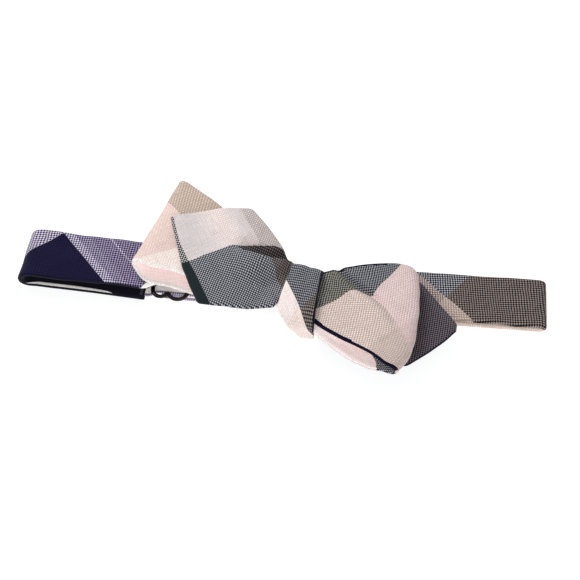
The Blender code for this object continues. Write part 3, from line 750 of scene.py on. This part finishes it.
def make_left_end():
    """The pointed end on the left, in front, with the pleat that the knot presses into it."""
    root = 3.6
    line = [(root, 13.65), (10.0, 13.65), (17.0, 15.9), (23.5, 17.0), (33.0, 18.2), (54.0, 19.2)]
    upper = stations((root, -7.8), (9.3, -11.0), (22.7, -16.8), (32.7, -20.2), (39.8, -15.3), (54.0, -0.6))
    lower = stations(
        (root, 8.6), (10.7, 14.4), (18.3, 19.9), (24.9, 24.0), (31.6, 19.7), (38.6, 14.7), (54.0, 0.6),
        soften=0.8,
    )
    cloth = yarns(60.6, -31.0)
    # The border between the pale and dark checks turns where it runs into the pleat.
    border = stations(
        (8.0, -13.6), (12.4, -13.2), (16.5, -12.0), (23.7, -6.8), (28.6, -2.9), (30.4, -0.3), (32.0, 3.4),
        (34.5, 7.4), (36.6, 11.2), (38.5, 14.0), (42.0, 19.0),
    )
    # The pleat's crest, which runs out from the knot.
    crest = stations(
        (4.0, -11.5), (10.3, -8.6), (13.2, -6.6), (16.5, -4.3), (19.7, -3.0), (23.2, -2.1), (27.0, -2.4),
    )
    b_strip = through(cloth, (35.2, 13.6), 1)
    b_beige = through(cloth, (34.9, -16.7), 1)
    face = weave(
        "end_left_check",
        (WHITE, (0.0, CHARCOAL)),
        (BEIGE, (b_beige, SMOKE), (b_strip, GREEN)),
        on_pale=(
            SAND, (b_beige, SAND), (b_beige + 0.5, PINK_GREY), (b_beige + 3.0, WHITE), (b_beige + 5.5, ROSE),
            (b_beige + 8.0, PINK), (b_beige + 12.0, ROSE), (b_beige + 17.0, WHITE), (b_beige + 19.0, FROST),
            (b_strip, FROST), (b_strip + 0.1, GREEN),
        ), blending="LINEAR",
    )
    under = weave("end_left_under", (WHITE,), (PINK,))
    dotted = weave("end_left_edge", (WHITE, (0.0, CHARCOAL)), (GREEN,))
    # Above the crest the check is woven in darker yarns: painted shade in the pleat's hollow, over the
    # stripes that the pleat really folds in.
    pleat_shade = weave(
        "end_left_pleat_painted_shade", (WHITE, (0.0, INK)), (SHADED_BEIGE, (b_beige, SMOKE)),
        on_pale=(SAND, (b_beige, PINK_GREY)), bold=0.6,
    )

    def check(_outer, u, s, l):
        """Above the ridge the pleat has swallowed some cloth, so the stripes across it are further on."""
        hidden = 7.5 * fall(l, crest(s), 0.5) * rise(l, border(s) - 0.4, 0.4)
        return 0.6 * (l - border(s)), cloth(u, l)[1] - hidden

    def pick(outer, u, l, low, high):
        if high < 1.3 * RIM and u > 24.0:
            return 2
        # Painted shade: the darker check in the hollow above the crest.
        if outer and l < crest(u) - 0.2 and u < 28.0:
            return 3
        return 0 if outer or min(low, high) < RIM else 1

    wrinkle = ripple(1.7, 7.0, 0.5)

    def shape(u, s, l):
        """A ridge below the pleat with a steep upper side, and a hollow above it."""
        along = rise(s, 5.0, 7.0) * fall(s, 31.0, 12.0)
        below = l - crest(s)
        ridge = 3.6 * rise(below, -0.9, 0.9) * fall(below, 13.0, 12.0)
        hollow = -1.9 * rise(below, -8.0, 5.0) * fall(below, 0.2, 0.9)
        return along * (ridge + hollow) + wrinkle(u, l) * rise(s, 16.0, 10.0)

    piece = shell(
        "bow_end_left", place_at(*LEFT_WING, 152), resampled(line, 0.5), wing_edges(upper, lower), cloth,
        pick, (face, under, dotted, pleat_shade), check=check, shape=shape, start_u=root, count=76,
    )
    declare(piece, "bow", plies("bow_end_front"))


def loop_line(start, flat, reach, low, high, radius, top_bulge, low_bulge):
    """Out along the front of a loop, round its fold, and back behind.

    low and high are the heights of the two runs at the knot and at the fold. The runs are level up to flat.
    """
    centre = (reach - radius - 1.1, (high[1] + low[1]) / 2)

    def run(ends, bulge):
        points = [(start, ends[0])]
        for i in range(13):
            share = i / 12
            climb = (ends[1] - ends[0]) * (0.6 * smoothstep(share) + 0.4 * share)
            z = ends[0] + climb + bulge * math.sin(math.pi * share)
            points.append((flat + (centre[0] - flat) * share, z))
        return points
    front = run(high, top_bulge)
    behind = run(low, low_bulge)
    return front + arc(centre, radius, math.pi / 2, -math.pi / 2, 14) + list(reversed(behind))


def turned_edge(front, behind, fold_u, length):
    """An edge that follows front before the fold and behind after it."""
    def read(s, u):
        turned = rise(u, fold_u, length)
        return front(s) * (1 - turned) + behind(s) * turned
    return read


def make_left_loop():
    """The loop behind on the left, its fold an open roll."""
    root = 3.6
    line = loop_line(root, 11.0, 60.0, (8.75, 9.6), (11.2, 17.1), 3.7, 1.0, 0.3)
    fold_u = 62.0
    upper = stations((root, -7.8), (11.0, -8.2), (42.0, -18.6), (60.0, -21.4))
    front_lower = stations(
        (root, 6.0), (11.0, 7.5), (25.0, 11.6), (36.6, 13.8), (44.5, 15.7), (52.0, 18.2), (60.0, 18.6),
    )
    back_lower = stations(
        (root, 4.5), (11.0, 6.0), (22.0, 11.0), (33.6, 16.2), (43.2, 18.0), (52.6, 20.2), (60.0, 19.0),
    )
    edges = (lambda s, _u: upper(s), turned_edge(front_lower, back_lower, fold_u, 6.0))
    turn_out = stations((-21.4, 3.9), (-16.0, 3.3), (-10.0, 2.3), (0.0, 0.6), (8.0, -0.9), (18.6, -2.1))
    cloth = yarns(157.0, 48.5)
    a_tan = through(cloth, (56.0, -8.5), 0)
    b_cream = through(cloth, (50.0, 10.6), 1)
    face = weave("loop_left_check", (APRICOT, (a_tan, TAN)), (DUSTY_PINK, (b_cream, IVORY)))
    # Its inside glows: painted light that brightens the shade inside the roll.
    inside = weave("loop_left_inside", (BLOSSOM,), (PINK,), painted_glow=LOOP_PAINTED_GLOW)
    rim = weave("loop_left_rim", (IVORY,), (IVORY,))

    def pick(outer, u, _l, _low, high):
        if high < (1.1 if u > fold_u else 0.6) * RIM:
            return 2
        return 0 if outer else 1

    wrinkle = ripple(5.5, 8.0, 0.6)

    def shape(u, s, l):
        return wrinkle(u, l) * rise(s, 34.0, 10.0)

    piece = shell(
        "bow_loop_left", place_at(*LEFT_WING, 155), resampled(line, 0.7), edges, cloth, pick,
        (face, inside, rim), shape=shape, start_u=root, count=44, thick=1.6,
        skew=lambda s, l: turn_out(l) * rise(s, 20.0, 40.0),
    )
    declare(piece, "bow", plies("bow_loop_back"))


def make_right_loop():
    """The loop in front on the right, creased from the knot and piped along its lower edge."""
    line = loop_line(0.0, 6.5, 39.8, (11.2, 11.2), (13.65, 16.7), 2.6, 1.3, 0.4)
    front_end = 41.0
    front_lower = stations(
        (0.0, -8.6), (4.0, -9.4), (9.5, -12.5), (15.5, -15.4), (24.8, -19.0), (34.3, -22.6), (38.0, -22.8),
    )
    back_lower = stations(
        (0.0, -8.8), (4.9, -11.4), (9.9, -13.9), (12.1, -15.5), (19.4, -19.2), (27.1, -20.8), (36.0, -22.2),
    )
    upper = stations(
        (0.0, 8.6), (3.3, 12.0), (7.6, 14.3), (15.4, 16.6), (22.2, 17.9), (29.0, 18.9), (38.0, 19.6),
    )
    edges = (turned_edge(front_lower, back_lower, front_end, 5.0), lambda s, _u: upper(s))
    cloth = yarns(39.0, -41.0)
    # Two borders cross at the cleft of the heart shape: the crease, and the arch over both lobes.
    crease = stations(
        (0.0, 21.0), (11.2, 11.2), (16.4, 6.8), (22.1, 4.0), (27.5, -0.3), (33.5, -7.3), (36.0, -11.2),
        (40.0, -18.0), soften=0.8,
    )
    arch = stations(
        (0.0, -7.2), (4.4, -4.0), (9.7, -0.2), (12.6, 2.6), (16.5, 4.3), (22.1, 3.9), (24.5, 8.9),
        (29.7, 15.7), (34.0, 20.0), (39.0, 26.0), soften=0.8,
    )

    def check(_outer, u, s, l):
        if u > front_end:
            return 1.0, 1.0
        return 0.78 * (l - arch(s)), 0.75 * (l - crease(s))

    face = weave(
        "loop_right_check", (DUSKY_BLUSH, (-21.0, BLUSH), (0.0, CHARCOAL)), (OLIVE_ASH, (0.0, SLATE)),
        on_pale=(FAWN, (0.0, OLD_ROSE)),
    )
    # Its inside glows: painted light that brightens the shade inside the loop.
    inside = weave("loop_right_inside", (BLOSSOM,), (ROSE,), painted_glow=LOOP_PAINTED_GLOW)
    piping = weave("loop_right_piping", (NAVY,), (NAVY,))
    shaded = weave("loop_right_tip", (INK,), (SMOKE,))

    def pick(outer, u, _l, low, high):
        if u < front_end - 1.0 and low < (1.25 - 0.6 * rise(u, 0.0, 28.0)) * RIM:
            return 2
        if u < 26.0 and high < RIM:
            return 2
        if outer:
            return 0 if u < front_end + 2.0 else 3
        return 3 if front_end - 6.0 < u < front_end + 9.0 + 0.85 * low and low < 8.0 else 1

    wrinkle = ripple(2.9, 8.0, 0.5)
    turn_in = stations(
        (-22.5, -3.9), (-20.0, -2.5), (-18.4, -1.6), (-15.9, -0.7), (-10.0, 0.0), (2.6, -0.6),
        (10.4, -1.6), (17.5, -3.3), (20.5, -5.5),
    )

    def shape(u, s, l):
        """A crease from the knot to the cleft, with a soft lobe below it. The back's low edge bellies out."""
        if u > front_end:
            return 2.2 * fall(l, -8.5, 5.0) * rise(u - front_end, 4.0, 10.0)
        across = 0.75 * (l - crease(s))
        along = rise(s, 5.0, 5.0) * fall(s, 34.0, 14.0)
        fold = 1.5 * hump(across + 3.2, 2.4) - 2.0 * hump(across, 1.2)
        return along * fold + wrinkle(u, l) * rise(s, 10.0, 8.0)

    piece = shell(
        "bow_loop_right", place_at(*RIGHT_WING, -7), resampled(line, 0.5), edges, cloth, pick,
        (face, inside, piping, shaded), check=check, shape=shape, count=70, thick=1.7,
        skew=lambda s, l: turn_in(l) * rise(s, 20.0, 18.0),
    )
    declare(piece, "bow", plies("bow_loop_front"))


def make_right_end():
    """The pointed end behind on the right, its point rounded."""
    line = [(0.0, 8.75), (14.0, 8.6), (37.5, 8.4), (52.6, 8.2)]
    lower = stations((0.0, -8.6), (14.0, -12.0), (37.5, -17.4), (44.0, -10.6), (50.0, -3.4), (52.6, 0.9))
    upper = stations((0.0, 8.6), (14.0, 13.0), (37.5, 18.6), (49.0, 7.0), (51.4, 4.6), (52.6, 2.6))
    cloth = yarns(-45.0, 45.0)
    a_grey = through(cloth, (46.0, 6.0), 0)
    face = weave("end_right_check", (PLUM, (a_grey, CHARCOAL)), (DUSKY_MAUVE,))
    piping = weave("end_right_piping", (NAVY,), (NAVY,))

    def pick(outer, _u, _l, low, _high):
        return 1 if low < 0.4 * RIM or not outer else 0

    wrinkle = ripple(6.3, 9.0, 0.3)

    def shape(u, s, l):
        return wrinkle(u, l) * rise(s, 38.0, 8.0)

    piece = shell(
        "bow_end_right", place_at(*RIGHT_WING, -6), resampled(line, 0.7), wing_edges(lower, upper), cloth,
        pick, (face, piping), shape=shape, count=44,
    )
    declare(piece, "bow", plies("bow_end_back"))


def make_knot():
    """The wrap round the middle: crowned in front, waisted, and drawn in at its lower end."""
    low, high = (-23.4, 3.9), (0.8, 16.3)  # opposite corners of the ring, seen from the side
    ring = []
    for quarter, radius in enumerate((3.4, 5.5, 3.4, 2.6)):
        centre = (
            high[0] - radius if quarter in (0, 3) else low[0] + radius,
            high[1] - radius if quarter in (0, 1) else low[1] + radius,
        )
        ring += arc(centre, radius, quarter * math.pi / 2, (quarter + 1) * math.pi / 2, 8)
    # The edges by how far along the ring they are, which starts at the top of the front.
    left = stations(
        (0.0, -3.9), (5.3, -5.0), (16.4, -7.4), (20.6, -8.0), (22.3, -7.6), (24.3, -6.4), (27.1, -3.9),
        (30.1, -2.0), (31.7, -0.6), (33.5, 0.6), (38.0, 0.0), (42.0, -3.0), (47.0, -5.0), (66.8, -3.9),
        soften=2.2,
    )
    right = stations((0.0, 7.0), (19.0, 5.5), (32.0, 5.2), (34.0, 5.4), (46.0, 5.0), (60.0, 5.0), (66.8, 7.0))
    # The frame's y is the ring's own s, and l runs along -x there, so its edges swap.
    edges = (lambda _s, u: -right(u), lambda _s, u: -left(u))
    flat_cloth = yarns(-27.3, 38.5)
    zero_u = 2.7  # y is zero at this u on the front

    def cloth(u, l):
        """Counted in y and x, as the front would lie if it were rolled flat."""
        return flat_cloth(zero_u - u, -l)

    a_dark = through(flat_cloth, (-17.1, -0.9), 0)
    b_olive = through(flat_cloth, (-18.5, 0.2), 1)
    face = weave(
        "knot_check", (PALE_PINK, (a_dark, CHARCOAL)), (SLATE, (b_olive, TAUPE)),
        on_pale=(PALE_PINK, (b_olive, APRICOT)),
    )
    inside = weave("knot_inside", (CREAM,), (PINK,))
    seam = weave("knot_seam", (INK,), (NAVY,))

    def pick(outer, u, _l, low, _high):
        if low < 0.6 * RIM and u < 29.0:
            return 2
        return 0 if outer else 1

    def shape(u, _s, l):
        """Crowned across its width on the front, with a soft fold running down it."""
        front = fall(u, 31.0, 5.0) + rise(u, 64.0, 3.0)
        fold_l = -1.0 + 0.1 * (u - 12.0)
        return min(1.0, front) * (1 - (l / 7.5) ** 2 - 0.35 * hump(l - fold_l, 1.4))

    piece = shell(
        "knot_wrap", place_at(KNOT_X, 0, 90), resampled(ring, 0.5, cyclic=True), edges, cloth, pick,
        (face, inside, seam), out=-1, thick=1.1, shape=shape, count=26, cyclic=True,
        skew=lambda s, l: -0.16 * (5.0 - l) * rise(s, -9.0, 9.0),
    )
    declare(piece, "bow", ["knot_wrap_face", "knot_wrap_canvas"])


# ---------------------------------------------------------------- strap, stitches and slider

def make_strap():
    """The single strap: out of the lined band, through the slider, round the eye and back to the slider."""
    place = place_at(0, 0, LEFT_TURN)
    edges = (lambda _s, _u: BAND_Y - STRAP_HALF, lambda _s, _u: BAND_Y + STRAP_HALF)
    cloth = yarns(-45.0, 45.0)
    # The pale strap glows: painted light that brightens it where the slider and the band shade it.
    pale = weave("strap_pale", (CREAM,), (PETAL,), painted_glow=0.2)
    dotted = weave("strap_edge", (LAVENDER,), (INDIGO,), bold=-0.2)
    selvedge = 0.9

    def pick(_outer, _u, _l, low, high):
        return 1 if min(low, high) < selvedge else 0

    upper_z, return_z = 4.0, 1.15  # heights of the strap's upper run and of its return
    eye_x, eye_z, turn = -18.5, 2.575, 1.425
    line = [(-55.0, BACK_Z), (-48.0, BACK_Z), (-47.0, 1.4), (-44.4, 3.9), (-43.0, upper_z)]
    line += [(eye_x, upper_z)] + arc((eye_x, eye_z), turn, math.pi / 2, -math.pi / 2, 10)
    line += [(eye_x - 1.0, eye_z - turn)]
    run = shell(
        "strap_run", place, resampled(line, 0.5), edges, cloth, pick, (pale, dotted), thick=STRAP_T, count=20,
    )
    declare(run, "left_back", ["adjuster_strap"])

    near_eye = -19.8
    line = [(near_eye, return_z), (-39.5, return_z)]
    back = shell(
        "strap_return", place, resampled(line, 0.5), edges, cloth, pick, (pale, dotted), out=-1,
        thick=STRAP_T, count=20, start_u=60.0,
    )
    declare(back, "left_back", ["adjuster_return"])
    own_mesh(back)

    bar = (-41.9, 2.1)
    line = [(-39.8, return_z), (bar[0], return_z)] + arc(bar, 0.95, 1.5 * math.pi, 0.5 * math.pi, 8)
    line += [(-34.5, 3.05)]
    tail = shell(
        "strap_tail", place, resampled(line, 0.4), edges, cloth, pick, (pale, dotted), out=-1, thick=0.5,
        count=20,
    )
    declare(tail, "slider", ["adjuster_tail"])

    line = [(22.5, BACK_Z), (6.0, 1.05)] + arc((3.0, 1.55), 1.25, -0.28 * math.pi, -1.7 * math.pi, 14)
    line += [(4.8, 1.9), (6.4, 1.6), (11.5, 1.58)]
    tab = shell(
        "hook_tab", place_at(0, 0, RIGHT_TURN), resampled(line, 0.4),
        (lambda _s, _u: -8.4, lambda _s, _u: 6.4), cloth, pick, (pale, dotted), thick=0.4, count=18, out=-1,
    )
    declare(tab, "right_back", ["hook_loop"])


def make_tack(name, place, centre, length, width, body, replaced, thread):
    """A bar tack: satin stitches side by side across a seam, each a small arch of thread."""
    pitch, slant, height = 0.42, 0.14, 0.22
    mesh = bmesh.new()
    count = round(length / pitch)
    for i in range(count):
        y = centre[1] - length / 2 + (i + 0.5) * length / count
        lean = slant if i % 2 else -slant
        stitch = []
        for k in range(7):
            share = k / 6
            x = centre[0] + width * (share - 0.5)
            z = centre[2] + height * math.sin(math.pi * share)
            stitch.append(place @ Vector((x, y + lean * (share - 0.5), z)))
        wire(mesh, stitch, 0.2, 0.16, sides=6)
    piece = object_from(mesh, name, (thread,))
    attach(piece, body)
    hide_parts(replaced)


def make_tacks():
    thread = stitching("dark_thread", DARK_THREAD)
    left, right = place_at(0, 0, LEFT_TURN), place_at(0, 0, RIGHT_TURN)
    back = middle("knot_tack") / MM - ORIGIN
    for name, place, centre, length, width, body, replaced in (
        ("band_end_stitches", left, (-50.4, BAND_Y, 2.15), 18.0, 1.0, "left_back", "band_end_tack"),
        ("hook_tab_stitches", right, (9.5, BAND_Y, 1.84), 13.0, 1.2, "right_back", "hook_loop_tack"),
        ("knot_stitches", place_at(0, 0, 0), tuple(back), 8.0, 1.2, "bow", "knot_tack"),
    ):
        make_tack(name, place, centre, length, width, body, replaced, thread)


def make_slider(metal):
    """The slider: a rod bent into a figure of eight, with a dropped bar that holds the strap's end."""
    place = place_at(0, 0, LEFT_TURN)
    z, waist_x, bar_z = 5.15, -40.5, 2.1
    left, right = (-42.9, 3.0), (-36.7, 3.5)  # the two lobes' x and radius
    low_y, high_y = -8.9, 6.9
    flat = arc((left[0], low_y), left[1], math.pi, 1.75 * math.pi, 10) + [(waist_x, low_y - 0.8)]
    flat += arc((right[0], low_y), right[1], 1.25 * math.pi, 2.0 * math.pi, 10)
    flat += arc((right[0], high_y), right[1], 0.0, 0.75 * math.pi, 10) + [(waist_x, high_y + 0.8)]
    flat += arc((left[0], high_y), left[1], 0.25 * math.pi, math.pi, 10)
    mesh = bmesh.new()
    outline = [place @ Vector((x, y, z)) for x, y in resampled(flat, 0.5, cyclic=True)]
    wire(mesh, outline, 0.8, 0.5, cyclic=True, sides=12)
    # The bar leaves the waist outside the strap's edge, drops past it and runs across under it.
    bar_x = waist_x - 0.5
    drop = [
        (waist_x, -10.0, z - 0.1), (waist_x - 0.1, -10.6, 4.4), (waist_x - 0.4, -10.6, 3.4),
        (bar_x, -10.3, 2.3), (bar_x, -9.6, bar_z),
    ]
    across = [(bar_x, y, bar_z) for y in (-5.0, -1.0, 3.0)]
    climb = [(x, 2 * BAND_Y - y, height) for x, y, height in reversed(drop)]
    bar = [place @ Vector(point) for point in resampled(drop + across + climb, 0.5)]
    wire(mesh, bar, 0.5, 0.34, sides=10)
    piece = object_from(mesh, "slider_rod", (metal,))
    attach(piece, "slider")
    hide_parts("slider")


# ---------------------------------------------------------------- surroundings

def make_floor():
    half_size = 3.0  # metres
    mesh = bmesh.new()
    bmesh.ops.create_grid(mesh, x_segments=8, y_segments=8, size=half_size)
    floor = object_from(mesh, "floor", (white_paper(),))
    floor.location.z = -0.05 * MM


def make_lights():
    """Even light from all round, a key light from behind on the left and a weaker one from in front."""
    world = bpy.data.worlds.new("studio")
    world.use_nodes = True
    set_inputs(world.node_tree.nodes["Background"], {"Color": COOL_WHITE, "Strength": 0.43})
    bpy.context.scene.world = world
    for name, place, size, power in (
        ("key", (-0.45, 0.55, 0.75), 0.45, 7.0),
        ("fill", (0.1, -0.8, 0.5), 0.8, 4.0),
    ):
        lamp = bpy.data.lights.new(name, "AREA")
        lamp.size = size
        lamp.energy = power
        light = bpy.data.objects.new(name, lamp)
        light.location = place
        light.rotation_euler = (-Vector(place)).to_track_quat("-Z", "Y").to_euler()
        bpy.context.scene.collection.objects.link(light)


def make_camera():
    """Seen from below the bow and a little to its right, about 55 degrees above the table."""
    azimuth, elevation, distance = math.radians(5.9), math.radians(55.0), 0.400
    aim = Vector((2.171, -1.313, 6.0)) * MM
    level = math.cos(elevation)
    back = Vector((math.sin(azimuth) * level, -math.cos(azimuth) * level, math.sin(elevation)))
    lens = bpy.data.cameras.new("camera")
    lens.sensor_width = 36.0
    lens.lens = 69.27
    lens.shift_x = 0.00517
    lens.clip_start = 0.01
    camera = bpy.data.objects.new("camera", lens)
    camera.location = aim + back * distance
    camera.rotation_euler = (-back).to_track_quat("-Z", "Y").to_euler()
    bpy.context.scene.collection.objects.link(camera)
    bpy.context.scene.camera = camera
    bpy.context.scene.view_settings.view_transform = "Standard"


make_camera()
make_floor()
make_lights()
make_left_band()
make_right_band()
make_left_loop()
make_left_end()
make_right_end()
make_right_loop()
make_knot()
make_strap()
make_tacks()

BRONZE = dark_metal()
make_slider(BRONZE)
for hardware in ("eye", "hook"):
    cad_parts[hardware].data.materials.clear()
    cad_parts[hardware].data.materials.append(BRONZE)
